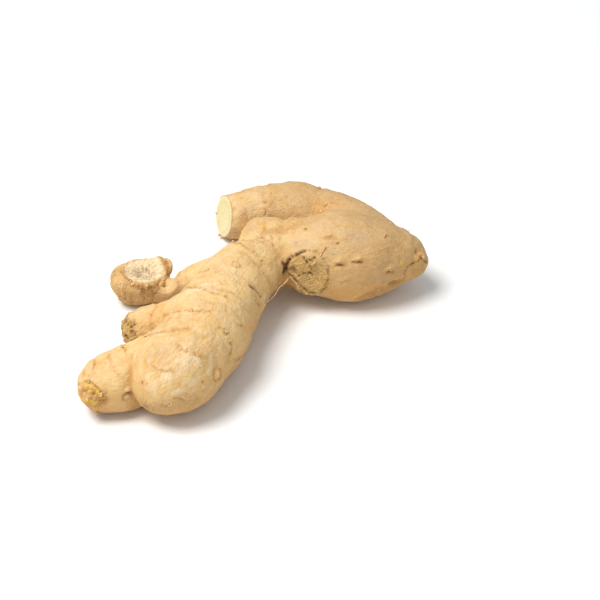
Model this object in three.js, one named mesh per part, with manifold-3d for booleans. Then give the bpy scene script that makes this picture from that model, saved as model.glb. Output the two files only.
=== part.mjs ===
// A fresh ginger rhizome, sold as one "hand": a jointed trunk with stubby fingers that lies on a surface.
// Units are millimetres, +Z is up, and the surface it lies on is z = 0.
// The origin is under the middle of its outline. It is one grown piece, so it is one solid.
import * as THREE from "three";
import { mergeVertices } from "three/addons/utils/BufferGeometryUtils.js";
import Module from "manifold-3d";

const wasm = await Module();
wasm.setup();

// The middle of the outline on the sheet that the spines below are drawn on. It is moved onto the origin.
const MIDDLE = [3.05, 2.4];

// Colour and finish of the dry, papery skin.
const SKIN = { color: 0xd9b57c, roughness: 0.82, metalness: 0.0 };

// Skin relief, in millimetres.
const LUMP_HEIGHT = 0.6;
const LUMP_LENGTH = 6.5;
const SWELL_HEIGHT = 0.5;
const LIP_HEIGHT = 0.5;
const GROOVE_DEPTH = 0.5;
const RING_ROWS = [-1.7, -0.6, 0.6, 1.9];

// Distance along a finger over which the lean of its rings turns by one radian.
const LEAN_TURN = 14;

// Spacing of the rows of a finger between its rings, and the rows that round off an end.
const ROW_STEP = 3.4;
const CAP_ROWS = 5;
const BLUNTNESS = 2.3;

// Width of the soft web of skin where two fingers join.
const WEB = 9;
const STUB_WEB = 2.5;

// Each finger is a spine of [x, y, z, radius] from tip to tip, with its rings in millimetres from the start,
// and the lean of those rings in millimetres each way.
const FINGERS = {
  trunk: {
    spine: [
      [-37, -63, 11.2, 9],
      [-27.5, -49.5, 15.4, 15.6],
      [-20, -37.5, 16, 15.6],
      [-15.5, -26, 16.2, 15],
      [-8.2, -2, 17, 13.2],
      [0.8, 15, 17.4, 12.3],
      [7, 26, 17.6, 12.2],
      [13, 34, 17, 10],
    ],
    rings: [29, 41, 50, 62, 76, 88],
    lean: [1.5, 0.7],
    around: 36,
    web: WEB,
  },
  toe: {
    spine: [
      [-62.3, -50, 8.3, 7],
      [-53, -50, 10.2, 10.4],
      [-43, -46.8, 11.4, 10.7],
      [-34, -42, 13, 9.5],
      [-24, -37, 14, 8],
    ],
    rings: [3, 6.5, 21],
    lean: [0.8, 0.5],
    around: 28,
    web: 6,
  },
  side_lobe: {
    spine: [
      [-49, -18, 6.8, 6.2],
      [-39.5, -14.5, 8.4, 7.6],
      [-28, -15, 11, 8.6],
      [-14, -14, 14, 8],
    ],
    rings: [14],
    lean: [0.6, 0.4],
    around: 24,
    web: WEB,
  },
  body: {
    spine: [
      [3, 26, 17.5, 11],
      [18, 22, 17, 13.8],
      [35.5, 19.5, 17, 17],
      [51, 20.5, 16.2, 13.9],
      [59.5, 21.5, 14.6, 10.2],
      [65, 21, 13.2, 6],
      [68.5, 21, 12.5, 4],
    ],
    rings: [56],
    lean: [1.2, 0.6],
    around: 36,
    web: 6,
  },
  back_finger: {
    spine: [
      [50, 22, 15, 8],
      [46.5, 34, 15, 10.2],
      [39.5, 46, 13.6, 10],
      [30.5, 53.2, 12.8, 10.2],
      [16, 58.4, 12.2, 11.5],
      [2.5, 58.2, 11.3, 10.8],
      [-6.5, 57.2, 10.4, 9.8],
      [-22, 56, 9.5, 8.4],
    ],
    rings: [26, 42, 64, 74],
    lean: [1.2, 0.6],
    around: 32,
    web: WEB,
  },
  neck: {
    spine: [
      [-46, 15, 6.5, 7],
      [-34, 12.6, 6.8, 5.5],
      [-28, 12.5, 9, 5.2],
      [-20, 11, 12.5, 6.2],
      [-6, 8, 16, 8],
    ],
    rings: [19],
    lean: [0.4, 0.3],
    around: 20,
    web: 5,
  },
  shoot_base: {
    spine: [
      [-46.5, 15.5, -1, 8],
      [-46.2, 15.5, 4, 10.2],
      [-45.2, 15.6, 11, 10.4],
      [-44.5, 15.6, 22, 9],
    ],
    rings: [7],
    lean: [0.5, 0.3],
    around: 28,
    web: 4,
  },
  branch_scar: {
    spine: [
      [26, 24, 17, 10],
      [22.4, 11, 17.4, 10.4],
      [20, 1, 17.6, 10],
    ],
    rings: [18.5],
    lean: [0, 0],
    around: 28,
    web: STUB_WEB,
  },
};

// Flat ends, each a plane with its outward normal: where a knife or a snapped branch left the finger open.
const CUTS = {
  back_finger: { at: [-13.8, 56.2, 10.5], out: [-0.97, -0.18, 0.13] },
  shoot_base: { at: [-44.5, 15.6, 12.4], out: [-0.1, 0.1, 0.98] },
  branch_scar: { at: [21, 5, 17.8], out: [-0.25, -0.95, 0.15] },
};

// Sleeping eyes and shoot buds: low domes on the skin of a finger, facing out from its spine.
const BUDS = [
  { on: "trunk", along: 20, facing: [0.84, -0.52, 0.17], radius: 2.4, height: 1.0 },
  { on: "trunk", along: 9, facing: [-0.8, 0, -0.2], radius: 2.6, height: 1.4 },
  { on: "trunk", along: 65, facing: [0.96, -0.26, -0.14], radius: 3, height: 2.2 },
  { on: "trunk", along: 66, facing: [0.2, -0.1, 0.9], radius: 2, height: 0.8 },
  { on: "body", along: 50, facing: [0.4, 0.4, 0.8], radius: 2, height: 1.0 },
  { on: "body", along: 32, facing: [-0.1, -0.9, 0.43], radius: 1.9, height: 0.7 },
  { on: "body", along: 37, facing: [0.1, -0.86, 0.5], radius: 1.7, height: 0.6 },
  { on: "body", along: 44.5, facing: [0.37, -0.89, 0.25], radius: 1.9, height: 0.7 },
  { on: "body", along: 36, facing: [0.1, 0.7, -0.5], radius: 2.6, height: 1.4 },
  { on: "back_finger", along: 46, facing: [0, 0.9, 0.1], radius: 2.4, height: 1.2 },
  { on: "shoot_base", along: 13, facing: [0.75, 0.65, 0.2], radius: 3.4, height: 3.4 },
  { on: "side_lobe", along: 10, facing: [0, 0.9, 0.3], radius: 2, height: 1.0 },
];
const BUD_SIDES = 12;

const point = ([x, y, z]) => new THREE.Vector3(x, y, z);

// Soft random-looking swellings, the same for the same place.
function lumpAt(p) {
  const wave = (a, b, c, shift) => Math.sin((a * p.x + b * p.y + c * p.z) / LUMP_LENGTH + shift);
  return LUMP_HEIGHT * (wave(1, 0.3, 0.2, 0.4) * wave(-0.2, 1, 0.5, 1.9) + 0.5 * wave(0.9, -1.2, 1.4, 3.1));
}

// The thin raised edge of an old leaf scale, and the groove beyond it.
function ringRelief(offset) {
  const bell = (centre, width) => Math.exp(-(((offset - centre) / width) ** 2));
  return LIP_HEIGHT * bell(-0.6, 0.7) - GROOVE_DEPTH * bell(0.6, 0.7);
}

// How far along a finger each row of its mesh lies: close together at the ends and at each ring.
function rowStations(length, startRadius, endRadius, rings) {
  const capAngle = (row) => ((row / CAP_ROWS) * Math.PI) / 2;
  const stations = [];
  for (let row = 0; row <= CAP_ROWS; row++) {
    stations.push(startRadius * (1 - Math.cos(capAngle(row))));
    stations.push(length - endRadius * (1 - Math.cos(capAngle(row))));
  }
  const ringRows = rings.flatMap((ring) => RING_ROWS.map((offset) => ring + offset));
  const clear = (a, gap) => stations.every((b) => Math.abs(a - b) > gap);
  for (const a of ringRows) {
    if (clear(a, 0.5)) stations.push(a);
  }
  const steps = Math.round(length / ROW_STEP);
  for (let step = 1; step < steps; step++) {
    const a = (step * length) / steps;
    if (clear(a, ROW_STEP / 2)) stations.push(a);
  }
  return stations.sort((a, b) => a - b);
}

// A finger: a sphere's grid wrapped round a spine, as a tube of changing radius with two round ends.
function fingerGeometry({ spine, rings, lean, around }) {
  const curve = new THREE.CatmullRomCurve3(spine.map(point));
  const length = curve.getLength();
  const radii = new THREE.CatmullRomCurve3(spine.map((p, i) => new THREE.Vector3(i, p[3], 0)));
  const frames = curve.computeFrenetFrames(Math.round(length), false);
  const radiusAt = (a) => radii.getPoint(curve.getUtoTmapping(a / length)).y;
  const startRadius = spine[0][3];
  const endRadius = spine.at(-1)[3];

  const rounding = (depth, radius) => {
    const share = THREE.MathUtils.clamp(1 - depth / radius, 0, 1);
    return (1 - share ** BLUNTNESS) ** (1 / BLUNTNESS);
  };
  const swelling = (a) => {
    const edges = [0, ...rings, length];
    const next = edges.findIndex((edge, i) => i > 0 && edge >= a);
    return Math.sin((Math.PI * (a - edges[next - 1])) / (edges[next] - edges[next - 1]));
  };

  const stations = rowStations(length, startRadius, endRadius, rings);
  const geometry = new THREE.SphereGeometry(1, around, stations.length - 1);
  const position = geometry.getAttribute("position");
  for (let i = 0; i < position.count; i++) {
    const a = stations[Math.floor(i / (around + 1))];
    const angle = ((i % (around + 1)) % around) * ((2 * Math.PI) / around);
    const fade = Math.min(1, a / (2 * startRadius), (length - a) / (2 * endRadius));
    const leaning = fade * (lean[0] * Math.cos(angle + a / LEAN_TURN) + lean[1] * Math.sin(2 * angle + a));
    const along = THREE.MathUtils.clamp(a + leaning, 0, length);
    const frame = Math.round((along / length) * (frames.normals.length - 1));
    const outward = frames.normals[frame]
      .clone()
      .multiplyScalar(Math.cos(angle))
      .addScaledVector(frames.binormals[frame], -Math.sin(angle));
    const round = rounding(a, startRadius) * rounding(length - a, endRadius);
    const relief = rings.reduce((sum, ring) => sum + ringRelief(a - ring), 0);
    const centre = curve.getPointAt(along / length);
    const plain = centre.clone().addScaledVector(outward, radiusAt(along) * round);
    const height = (lumpAt(plain) + SWELL_HEIGHT * swelling(a) + relief) * round;
    plain.addScaledVector(outward, height);
    position.setXYZ(i, plain.x, plain.y, plain.z);
  }
  return geometry;
}

function solidOf(geometry) {
  geometry.deleteAttribute("normal");
  geometry.deleteAttribute("uv");
  const merged = mergeVertices(geometry, 1e-4);
  const mesh = { numProp: 3, vertProperties: merged.attributes.position.array, triVerts: merged.index.array };
  return new wasm.Manifold(new wasm.Mesh(mesh));
}

function geometryOf(solid) {
  const { vertProperties, triVerts } = solid.getMesh();
  return new THREE.BufferGeometry()
    .setAttribute("position", new THREE.BufferAttribute(vertProperties, 3))
    .setIndex(new THREE.BufferAttribute(triVerts, 1));
}

// Takes off everything past the plane, with a block that stands on it.
function cutFlat(solid, { at, out }, size = 40) {
  const block = new THREE.BoxGeometry(size, size, size).translate(0, 0, size / 2);
  const turn = new THREE.Quaternion().setFromUnitVectors(new THREE.Vector3(0, 0, 1), point(out).normalize());
  return solid.subtract(solidOf(block.applyQuaternion(turn).translate(...at)));
}

// Samples of a finger's spine, for measuring how far a point is from its skin.
function spineSamples({ spine, web }) {
  const curve = new THREE.CatmullRomCurve3(spine.map(point));
  const radii = new THREE.CatmullRomCurve3(spine.map((p, i) => new THREE.Vector3(i, p[3], 0)));
  const count = Math.round(curve.getLength());
  return Array.from({ length: count + 1 }, (_, i) => ({
    centre: curve.getPoint(i / count),
    radius: radii.getPoint(i / count).y,
    web,
  }));
}

// Raises the skin near each join, so that two fingers meet in a soft web and not in a sharp crease.
function raiseWebs(solid, fingers) {
  const spines = fingers.map(spineSamples);
  const geometry = geometryOf(solid);
  const position = geometry.getAttribute("position");
  const p = new THREE.Vector3();
  for (let i = 0; i < position.count; i++) {
    p.fromBufferAttribute(position, i);
    const nearest = spines
      .map((samples) => {
        let best = { gap: Infinity };
        for (const { centre, radius, web } of samples) {
          const gap = p.distanceTo(centre) - radius;
          if (gap < best.gap) best = { gap, centre, web };
        }
        return best;
      })
      .sort((a, b) => a.gap - b.gap);
    const [first, second] = nearest;
    const web = Math.min(first.web, second.web);
    const share = Math.max(1 - (second.gap - first.gap) / web, 0);
    const away = p.clone().sub(first.centre).normalize().multiplyScalar(1 - share / 2);
    away.addScaledVector(p.clone().sub(second.centre).normalize(), share / 2).normalize();
    p.addScaledVector(away, (web * share * share) / 4);
    position.setXYZ(i, p.x, p.y, p.z);
  }
  return solidOf(geometry);
}

// A low dome that stands on a finger's skin, facing away from its spine.
function budSolid({ on, along, facing, radius, height }) {
  const { spine } = FINGERS[on];
  const curve = new THREE.CatmullRomCurve3(spine.map(point));
  const share = along / curve.getLength();
  const radii = new THREE.CatmullRomCurve3(spine.map((p, i) => new THREE.Vector3(i, p[3], 0)));
  const tangent = curve.getTangentAt(share);
  const out = point(facing).projectOnPlane(tangent).normalize();
  const skin = radii.getPoint(curve.getUtoTmapping(share)).y + lumpAt(curve.getPointAt(share));
  const centre = curve.getPointAt(share).addScaledVector(out, skin - height);
  const dome = new THREE.SphereGeometry(1, BUD_SIDES, BUD_SIDES / 2).rotateX(Math.PI / 2);
  dome.scale(radius, radius, 2 * height);
  const turn = new THREE.Quaternion().setFromUnitVectors(new THREE.Vector3(0, 0, 1), out);
  return solidOf(dome.applyQuaternion(turn).translate(centre.x, centre.y, centre.z));
}

function rhizomeSolid() {
  let solid = null;
  for (const [name, finger] of Object.entries(FINGERS)) {
    let piece = solidOf(fingerGeometry(finger));
    if (CUTS[name]) piece = cutFlat(piece, CUTS[name]);
    solid = solid ? solid.add(piece) : piece;
  }
  solid = raiseWebs(solid, Object.values(FINGERS));
  for (const bud of BUDS) solid = solid.add(budSolid(bud));
  return cutFlat(solid, { at: [0, 0, 0], out: [0, 0, -1] }, 400);
}

const rhizomeGeometry = geometryOf(rhizomeSolid()).translate(-MIDDLE[0], -MIDDLE[1], 0);
const rhizome = new THREE.Mesh(rhizomeGeometry, new THREE.MeshStandardMaterial(SKIN));
rhizome.name = "rhizome";

const ginger = new THREE.Group();
ginger.add(rhizome);

export default ginger;
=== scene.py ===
# %% [markdown]
# # A fresh ginger rhizome
#
# Ginger is sold as a "hand": a jointed underground stem with stubby fingers. It is one grown thing, so the
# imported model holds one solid. That solid is faceted and smooth. This lesson puts a fine skin in its place,
# with ring lines, wrinkles, root scars and cut faces, and adds the rootlets and papery scraps that stand
# off it.

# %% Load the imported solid
import functools
import itertools
import math

import bmesh
import bpy
import numpy as np
from mathutils import Matrix, Vector
from mathutils.bvhtree import BVHTree


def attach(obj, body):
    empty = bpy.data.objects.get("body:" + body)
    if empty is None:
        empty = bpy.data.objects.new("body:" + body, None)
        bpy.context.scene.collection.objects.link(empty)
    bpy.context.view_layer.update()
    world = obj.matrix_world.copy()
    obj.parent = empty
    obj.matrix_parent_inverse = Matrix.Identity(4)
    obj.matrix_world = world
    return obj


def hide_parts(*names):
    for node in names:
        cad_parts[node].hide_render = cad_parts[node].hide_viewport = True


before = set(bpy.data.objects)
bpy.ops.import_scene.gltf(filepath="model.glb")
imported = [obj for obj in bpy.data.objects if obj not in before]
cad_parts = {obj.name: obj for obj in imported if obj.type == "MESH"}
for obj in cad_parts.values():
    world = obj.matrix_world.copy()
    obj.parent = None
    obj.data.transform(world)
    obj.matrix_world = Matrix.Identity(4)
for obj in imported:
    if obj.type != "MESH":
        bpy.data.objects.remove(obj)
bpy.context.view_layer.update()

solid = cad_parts["rhizome"]

# %% [markdown]
# ## Camera
#
# The camera comes first, because marks that the photograph shows are later placed by looking through it.
# A long lens from above the front gives the photograph's view. The lens is worked out from how many
# millimetres one pixel covers at the point that the camera looks at.

# %% Camera
SCENE = bpy.context.scene
MM = 0.001
PICTURE = 600  # pixels, both ways
MM_PER_PIXEL = 0.38
CAMERA_RISE = math.radians(37)
CAMERA_DISTANCE = 700 * MM
LOOK_AT = Vector((14.95, -8.4, 15.0)) * MM
SENSOR = 36.0

FORWARD = Vector((0, math.cos(CAMERA_RISE), -math.sin(CAMERA_RISE)))
RIGHT = Vector((1, 0, 0))
UP = RIGHT.cross(FORWARD)
EYE = LOOK_AT - FORWARD * CAMERA_DISTANCE


def add_object(name, data):
    """An object with this data, in the scene."""
    made = bpy.data.objects.new(name, data)
    SCENE.collection.objects.link(made)
    return made


camera_data = bpy.data.cameras.new("camera")
camera_data.sensor_width = SENSOR
camera_data.lens = SENSOR * (CAMERA_DISTANCE / MM) / (PICTURE * MM_PER_PIXEL)
camera_data.clip_start = 0.01
camera = add_object("camera", camera_data)
camera.location = EYE
camera.rotation_euler = (math.pi / 2 - CAMERA_RISE, 0, 0)
bpy.context.scene.camera = camera
print("camera at", [round(v, 4) for v in EYE], "lens", round(camera_data.lens, 1))

# %% [markdown]
# ## A fine skin over the solid
#
# The solid's triangles are a few millimetres wide, too coarse to carry a wrinkle. A voxel remesh wraps it in
# even faces about 0.6 mm wide. Smoothing then melts the facets away. It skips the rim of the knife cut, which
# is sharp, and works longest on the rims of the two old wounds, which have worn round. Two round buds at the
# shoot base are spheres put in before the wrapping, so that they grow out of the same skin.

# %% Where the rhizome was cut or snapped
MIDDLE = Vector((3.05, 2.4, 0))  # the drawing's middle, which the solid is centred on


def place(x, y, z):
    """A point of the drawing, in millimetres, as a point of the scene."""
    return (Vector((x, y, z)) - MIDDLE) * MM


CUTS = {  # a point on the plane, the way it faces, and how far it reaches
    "knife_cut": (place(-13.8, 56.2, 10.5), Vector((-0.97, -0.18, 0.13)).normalized(), 12.5),
    "shoot_cut": (place(-44.5, 15.6, 12.4), Vector((-0.1, 0.1, 0.98)).normalized(), 13.0),
    "branch_scar": (place(21, 5, 17.8), Vector((-0.25, -0.95, 0.15)).normalized(), 13.0),
}

# %% Remesh and smooth
VOXEL = 0.61 * MM
SAME_POINT = 0.002 * MM  # corners of the solid that are closer than this are one
SMOOTH_ROUNDS = 11
RIM_KEPT = 0.8 * MM
OLD_RIMS = {"shoot_cut": 3.0, "branch_scar": 4.5}  # millimetres deep that each is worn round
OLD_RIM_ROUNDS = 66
KNOBS = [  # small buds, wrapped in with the solid: middle, radius in millimetres
    (place(-36.2, 21.4, 12.4), 4.3),
    (place(-40.2, 23.4, 10.6), 3.8),
]


def evaluated_mesh(thing):
    """A new mesh, as the object's modifiers make it."""
    evaluated = thing.evaluated_get(bpy.context.evaluated_depsgraph_get())
    return bpy.data.meshes.new_from_object(evaluated)


base = add_object("remesh", solid.data.copy())
merged = bmesh.new()
merged.from_mesh(base.data)
bmesh.ops.remove_doubles(merged, verts=merged.verts, dist=SAME_POINT)
for middle, radius in KNOBS:
    bmesh.ops.create_icosphere(merged, subdivisions=3, radius=radius * MM, matrix=Matrix.Translation(middle))
merged.to_mesh(base.data)
merged.free()
remesh = base.modifiers.new("wrap", "REMESH")
remesh.mode = "VOXEL"
remesh.voxel_size = VOXEL
skin_mesh = evaluated_mesh(base)
bpy.data.objects.remove(base)
skin_mesh.name = "rhizome_skin"

sheet = bmesh.new()
sheet.from_mesh(skin_mesh)


def by_a_rim(point, name, depth):
    """Whether a point is close to the plane of a cut, and within the cut's reach."""
    at, out, reach = CUTS[name]
    return abs((point - at).dot(out)) < depth and (point - at).length < reach * MM


def smooth(verts, rounds):
    axes = {"use_axis_x": True, "use_axis_y": True, "use_axis_z": True}
    for _ in range(rounds):
        bmesh.ops.smooth_vert(sheet, verts=verts, factor=0.5, **axes)


smooth([v for v in sheet.verts if not by_a_rim(v.co, "knife_cut", RIM_KEPT)], SMOOTH_ROUNDS)
for name, depth in OLD_RIMS.items():
    smooth([v for v in sheet.verts if by_a_rim(v.co, name, depth * MM)], OLD_RIM_ROUNDS)
smooth(sheet.verts, 1)
sheet.to_mesh(skin_mesh)
touch_tree = BVHTree.FromBMesh(sheet)
sheet.free()
print("skin:", len(skin_mesh.vertices), "points,", len(skin_mesh.polygons), "faces")

# %% [markdown]
# ## Hollows and bulges
#
# Hollows are painted darker and more orange, as painted shade, and bulges are rubbed pale. A copy of the skin
# is smoothed far more. Where that copy lies outside the skin the skin dips in, and where it lies inside there
# is a bulge.

# %% Hollows
HOLLOW_ROUNDS = 90
HOLLOW_FROM, BULGE_FROM = 0.04, 0.12  # millimetres at which each begins to count
HOLLOW_FULL = 0.35  # millimetres past that at which it counts in full


def coordinates(mesh, field="co"):
    """The points of a mesh, or their normals, as rows of three numbers."""
    row = np.empty(len(mesh.vertices) * 3, np.float32)
    mesh.vertices.foreach_get(field, row)
    return row.reshape(-1, 3).astype(float)


COUNT = len(skin_mesh.vertices)
at_mm = coordinates(skin_mesh) / MM  # millimetres, centred on the origin
outward = coordinates(skin_mesh, "normal")
melted = add_object("melted", skin_mesh.copy())
melt = melted.modifiers.new("melt", "SMOOTH")
melt.factor, melt.iterations = 0.5, HOLLOW_ROUNDS
melted_mesh = evaluated_mesh(melted)
sunk = ((coordinates(melted_mesh) / MM - at_mm) * outward).sum(1)
bpy.data.objects.remove(melted)
bpy.data.meshes.remove(melted_mesh)
hollow_shade = np.clip((sunk - HOLLOW_FROM) / HOLLOW_FULL, 0, 1)
bulge = np.clip((-sunk - BULGE_FROM) / HOLLOW_FULL, 0, 1)
print("hollow points:", int((hollow_shade > 0.3).sum()), "bulging:", int((bulge > 0.3).sum()))

# %% [markdown]
# ## Fingers as rulers
#
# Ginger's marks follow its fingers: rings go round them, fibres run along them. So each point of the skin is
# told which finger it is on, how far along it lies, and at what angle round it. The spines are those that the
# solid was built on: x, y, z and thickness, in millimetres.

# %% The fingers
FINGERS = {  # spine points, and where the rings are, in millimetres from the start
    "trunk": (
        [(-37, -63, 11.2, 9), (-27.5, -49.5, 15.4, 15.6), (-20, -37.5, 16, 15.6), (-15.5, -26, 16.2, 15),
         (-8.2, -2, 17, 13.2), (0.8, 15, 17.4, 12.3), (7, 26, 17.6, 12.2), (13, 34, 17, 10)],
        (29, 41, 50, 62, 76, 88),
    ),
    "toe": (
        [(-62.3, -50, 8.3, 7), (-53, -50, 10.2, 10.4), (-43, -46.8, 11.4, 10.7), (-34, -42, 13, 9.5),
         (-24, -37, 14, 8)],
        (3, 6.5, 21),
    ),
    "side_lobe": (
        [(-49, -18, 6.8, 6.2), (-39.5, -14.5, 8.4, 7.6), (-28, -15, 11, 8.6), (-14, -14, 14, 8)],
        (14,),
    ),
    "body": (
        [(3, 26, 17.5, 11), (18, 22, 17, 13.8), (35.5, 19.5, 17, 17), (51, 20.5, 16.2, 13.9),
         (59.5, 21.5, 14.6, 10.2), (65, 21, 13.2, 6), (68.5, 21, 12.5, 4)],
        (),
    ),
    "back_finger": (
        [(50, 22, 15, 8), (46.5, 34, 15, 10.2), (39.5, 46, 13.6, 10), (30.5, 53.2, 12.8, 10.2),
         (16, 58.4, 12.2, 11.5), (2.5, 58.2, 11.3, 10.8), (-6.5, 57.2, 10.4, 9.8), (-22, 56, 9.5, 8.4)],
        (26, 42, 64, 74),
    ),
    "neck": (
        [(-46, 15, 6.5, 7), (-34, 12.6, 6.8, 5.5), (-28, 12.5, 9, 5.2), (-20, 11, 12.5, 6.2), (-6, 8, 16, 8)],
        (19,),
    ),
    "shoot_base": (
        [(-46.5, 15.5, -1, 8), (-46.2, 15.5, 4, 10.2), (-45.2, 15.6, 11, 10.4), (-44.5, 15.6, 22, 9)],
        (7,),
    ),
    "branch_scar": (
        [(26, 24, 17, 10), (22.4, 11, 17.4, 10.4), (20, 1, 17.6, 10)],
        (),
    ),
}


def smooth_path(points, steps=14):
    """A smooth path through the points: a centripetal Catmull-Rom curve, as the solid's fingers follow."""
    p = np.array(points, float)
    p = np.vstack([2 * p[0] - p[1], p, 2 * p[-1] - p[-2]])
    rows = []
    for a, b, c, d in zip(p, p[1:], p[2:], p[3:]):
        t1, t2, t3 = np.cumsum([np.linalg.norm((q - r)[:3]) ** 0.5 for q, r in ((b, a), (c, b), (d, c))])
        for t in np.linspace(t1, t2, steps, endpoint=False):
            ab = ((t1 - t) * a + t * b) / t1
            bc = ((t2 - t) * b + (t - t1) * c) / (t2 - t1)
            cd = ((t3 - t) * c + (t - t2) * d) / (t3 - t2)
            abc = ((t2 - t) * ab + t * bc) / t2
            bcd = ((t3 - t) * bc + (t - t1) * cd) / (t3 - t1)
            rows.append(((t2 - t) * abc + (t - t1) * bcd) / (t2 - t1))
    return np.array(rows + [p[-2]])


# %% Read every point of the skin off its finger


def unit(v):
    return v / np.maximum(np.linalg.norm(v, axis=-1, keepdims=True), 1e-9)


def measure(spine, points):
    """For each point: how far outside the finger it is, how far along, the angle round it, and the
    finger's thickness and direction there."""
    path = smooth_path(spine)
    path[:, :2] -= np.array(MIDDLE)[:2]
    steps = np.linalg.norm(np.diff(path[:, :3], axis=0), axis=1)
    arc = np.concatenate([[0], np.cumsum(steps)])
    tangent = unit(np.gradient(path[:, :3], axis=0))
    top = np.array((0.0, 1.0, 0.0)) if abs(tangent[:, 2]).mean() > 0.7 else np.array((0.0, 0.0, 1.0))
    over = unit(top - tangent * (tangent @ top)[:, None])
    aside = np.cross(tangent, over)
    square = (points**2).sum(1)[:, None] - 2 * points @ path[:, :3].T + (path[:, :3] ** 2).sum(1)[None]
    gaps = np.sqrt(np.maximum(square, 0)) - path[:, 3][None]
    k = gaps.argmin(1)
    off = points - path[k, :3]
    ahead = (off * tangent[k]).sum(1)
    angle = np.arctan2((off * aside[k]).sum(1), (off * over[k]).sum(1))
    return gaps[np.arange(len(points)), k], arc[k] + ahead, angle, path[k, 3], tangent[k]


readings = {name: measure(spine, at_mm) for name, (spine, _) in FINGERS.items()}
NAMES = list(FINGERS)
gap_table = np.array([readings[name][0] for name in NAMES])
order = np.argsort(gap_table, axis=0)
finger_of = order[0]
seam = np.take_along_axis(gap_table, order[1:2], 0)[0] - np.take_along_axis(gap_table, order[:1], 0)[0]
along, angle, thick = (np.choose(finger_of, [readings[n][k] for n in NAMES]) for k in (1, 2, 3))
lengthways = np.stack([readings[n][4] for n in NAMES])[finger_of, np.arange(COUNT)]
print("points on each finger:", {n: int((finger_of == i).sum()) for i, n in enumerate(NAMES)})

# %% [markdown]
# ## Soft noise
#
# Nothing on a root repeats. A small noise function gives the same soft random number for the same place, so
# the skin is uneven in the same way on every run. Read in "straightened" coordinates, as if each finger were
# pulled straight, it makes fibres that follow the finger round its bends.

# %% Noise


def hashed(cells, seed):
    """A number from 0 to 1 for each whole-number cell."""
    n = cells[:, 0] * 73856093 ^ cells[:, 1] * 19349663 ^ cells[:, 2] * 83492791 ^ (seed * 2654435761 + 12345)
    n = (n ^ (n >> 13)) * 1274126177 & 0x7FFFFFFF
    n = (n ^ (n >> 15)) * 1103515245 & 0x7FFFFFFF
    return (n ^ (n >> 16)) / 0x7FFFFFFF


def cloud(points, size, seed=0, octaves=2):
    """Soft noise from about -1 to 1, whose blobs are about the given size across."""
    total, share, whole = 0, 1.0, 0
    for octave in range(octaves):
        spot = points / size * 2**octave + 17.3 * octave
        cell = np.floor(spot).astype(np.int64)
        part = spot - cell
        part = part * part * (3 - 2 * part)
        for corner in itertools.product((0, 1), repeat=3):
            c = np.array(corner)
            weight = np.prod(np.where(c, part, 1 - part), axis=1)
            total = total + share * weight * (2 * hashed(cell + c, seed + octave) - 1)
        whole += share
        share /= 2
    return 1.7 * total / whole


def ease(low, high, value):
    """0 below low, 1 above high, and a soft step between."""
    t = np.clip((value - low) / (high - low), 0, 1)
    return t * t * (3 - 2 * t)


def bell(value, width):
    return np.exp(-((value / width) ** 2))


@functools.cache
def grain(size, seed, octaves=2):
    """The noise at every point of the skin; each kind is worked out once."""
    return cloud(at_mm, size, seed, octaves)


FINGER_SHIFT = 61.7  # millimetres between the noise of one finger and the next
straight = np.stack([thick * np.cos(angle), thick * np.sin(angle), along], 1)
straight += finger_of[:, None] * FINGER_SHIFT
print("noise from", round(float(grain(5, 0).min()), 2), "to", round(float(grain(5, 0).max()), 2))

# %% [markdown]
# ## Marks seen in the photograph
#
# Scars, eyes and cracks are placed by the pixel that shows them: a ray from the camera through that pixel
# meets the skin, and the mark is drawn there, in millimetres across the skin. The same helper takes a place
# on the side that the photograph doesn't show.

# %% Looking through the camera
PROBE_DEPTHS = range(620, 800, 2)  # millimetres from the camera, tried where a pixel misses the skin
NEAR_STROKE = 3  # millimetres round a line within which points are measured


def ray(x, y):
    """The way from the camera through a pixel."""
    step = MM_PER_PIXEL * MM
    sideways, climb = (x - PICTURE / 2) * step, (PICTURE / 2 - y) * step
    return (FORWARD * CAMERA_DISTANCE + RIGHT * sideways + UP * climb).normalized()


def touch(x, y):
    """The point of the skin that a pixel shows, or nearly shows past an edge, and its normal."""
    way = ray(x, y)
    spot, normal, _, _ = touch_tree.ray_cast(EYE, way)
    if spot is None:
        near = [touch_tree.find_nearest(EYE + way * depth * MM) for depth in PROBE_DEPTHS]
        spot, normal, _, _ = min(near, key=lambda found: found[3])
    return spot, normal


def around(spot, normal):
    """Millimetres to the right of, above and out from a place on the skin, for every point."""
    off = at_mm - np.array(spot) / MM
    n = np.array(normal)
    right = unit(np.array(RIGHT) - n * (n @ np.array(RIGHT)))
    above = np.cross(n, right)
    return off @ right, off @ above, off @ n


def blot(x, y, wide, tall=None, rough=0.25, seed=5):
    """A soft-edged patch, 1 at its middle, with a ragged edge; wide and tall are its half sizes in pixels."""
    spot, normal = touch(x, y)
    u, v, w = around(spot, normal)
    a, b = wide * MM_PER_PIXEL, (tall or wide) * MM_PER_PIXEL
    reach = np.sqrt((u / a) ** 2 + (v / b) ** 2 + (w / (2 * max(a, b))) ** 2)
    return 1 - ease(0.65, 1.2, reach + rough * grain(1.6, seed))


def stroke(pixels, width, wander=0.2, seed=9):
    """A line through the pixels, 1 on it, fading over the width in millimetres."""
    dots = []
    for (x0, y0), (x1, y1) in zip(pixels, pixels[1:]):
        steps = max(2, int(math.hypot(x1 - x0, y1 - y0) * 2))
        for t in np.linspace(0, 1, steps):
            dots.append(touch(x0 + (x1 - x0) * t, y0 + (y1 - y0) * t)[0])
    dots = np.array([list(d) for d in dots]) / MM
    low, high = dots.min(0) - NEAR_STROKE, dots.max(0) + NEAR_STROKE
    near = np.flatnonzero(((at_mm > low) & (at_mm < high)).all(1))
    span = np.sqrt(((at_mm[near][:, None] - dots[None]) ** 2).sum(-1).min(1))
    mark = np.zeros(COUNT)
    mark[near] = bell(span + wander * grain(0.9, seed)[near], width)
    return mark


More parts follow.
